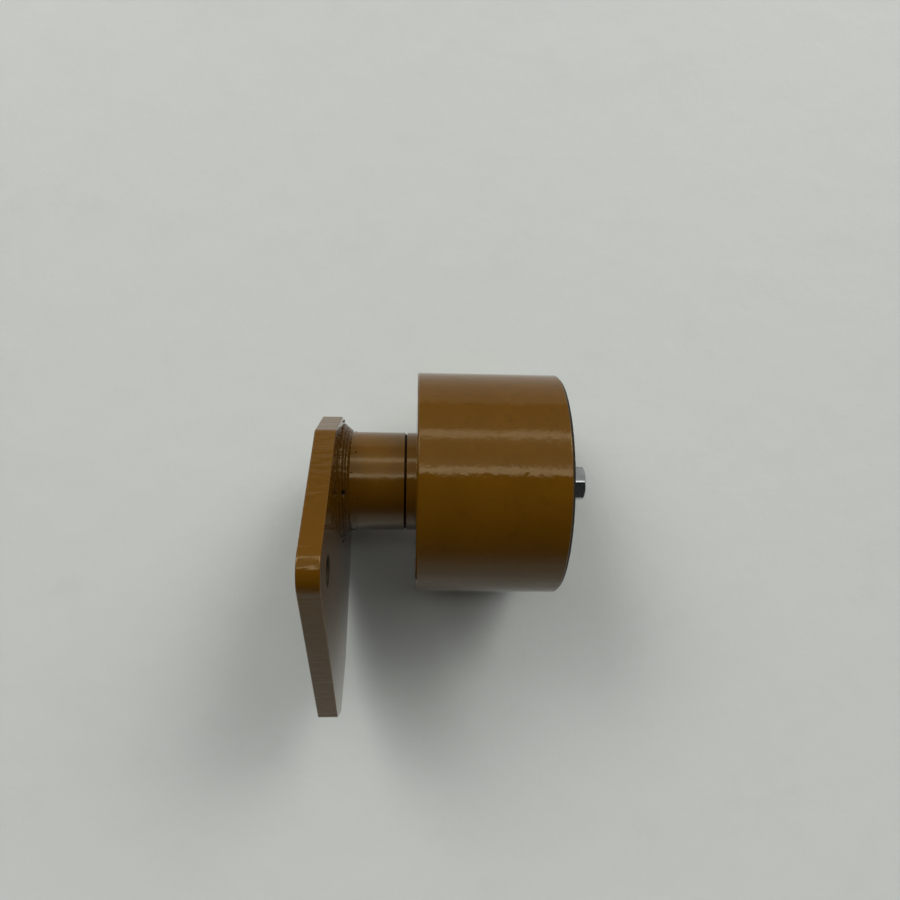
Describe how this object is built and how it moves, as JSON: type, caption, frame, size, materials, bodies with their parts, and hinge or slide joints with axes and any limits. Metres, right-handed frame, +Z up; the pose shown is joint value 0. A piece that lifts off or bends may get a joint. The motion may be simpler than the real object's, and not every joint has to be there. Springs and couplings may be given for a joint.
{
  "type": "track roller",
  "caption": "Cantilevered track carrier roller: plain cylindrical tread on a sealed ball-bearing hub, welded to an irregular bolt-on mounting plate, hex plug at the free end.",
  "frame": {"origin": "where the roller axis meets the mounting plate's outer face", "axes": "+Y along the roller axis from the plate to the free end, +Z up off the surface the roller lies on, +X towards the plate's long arm"},
  "size_m": [0.1803, 0.1375, 0.1585],
  "materials": {
    "ochre_paint": "glossy ochre enamel over a turned and flame-cut surface",
    "cover_paint": "glossy ochre enamel",
    "painted_weld": "glossy enamel over weld ripples",
    "axle_steel": "turned steel",
    "seal_iron": "lapped seal face",
    "black_rubber": "matt nitrile rubber",
    "bearing_steel": "ground",
    "polished_ball": "polished",
    "cage_brass": "machined",
    "spring_steel": "black phosphated",
    "zinc_steel": "zinc plated",
    "copper_washer": "annealed copper"
  },
  "bodies": {
    "mount": {"mounting_plate": "ochre_paint", "front_weld": "painted_weld", "back_weld": "painted_weld", "hub_collar": "ochre_paint", "stub_axle": "axle_steel", "fixed_seal_ring": "seal_iron", "fixed_toric_ring": "black_rubber", "inboard_inner_race": "bearing_steel", "outboard_inner_race": "bearing_steel", "inner_spacer": "axle_steel", "clamp_washer": "axle_steel", "spring_washer": "spring_steel", "axle_bolt": "zinc_steel"},
    "roller": {"roller_shell": "ochre_paint", "turning_seal_ring": "seal_iron", "turning_toric_ring": "black_rubber", "inboard_outer_race": "bearing_steel", "outboard_outer_race": "bearing_steel", "outer_spacer": "axle_steel", "bearing_snap_ring": "spring_steel", "end_cover": "cover_paint", "cover_o_ring": "black_rubber", "cover_snap_ring": "spring_steel", "filler_plug": "zinc_steel", "plug_washer": "copper_washer"},
    "inboard_cage": {"inboard_balls": "polished_ball", "inboard_cage_near": "cage_brass", "inboard_cage_far": "cage_brass", "inboard_cage_rivets": "bearing_steel"},
    "outboard_cage": {"outboard_balls": "polished_ball", "outboard_cage_near": "cage_brass", "outboard_cage_far": "cage_brass", "outboard_cage_rivets": "bearing_steel"}
  },
  "joints": [
    {"name": "roller_spin", "type": "hinge", "parent": "mount", "child": "roller", "pos_m": [0, 0.08475, 0], "axis": [0, 1, 0], "continuous": true},
    {"name": "inboard_cage_spin", "type": "hinge", "parent": "mount", "child": "inboard_cage", "pos_m": [0, 0.0635, 0], "axis": [0, 1, 0], "continuous": true},
    {"name": "outboard_cage_spin", "type": "hinge", "parent": "mount", "child": "outboard_cage", "pos_m": [0, 0.093, 0], "axis": [0, 1, 0], "continuous": true}
  ],
  "couplings": [
    {"joint": "inboard_cage_spin", "follows": "roller_spin", "ratio": 0.62759},
    {"joint": "outboard_cage_spin", "follows": "roller_spin", "ratio": 0.62759}
  ]
}
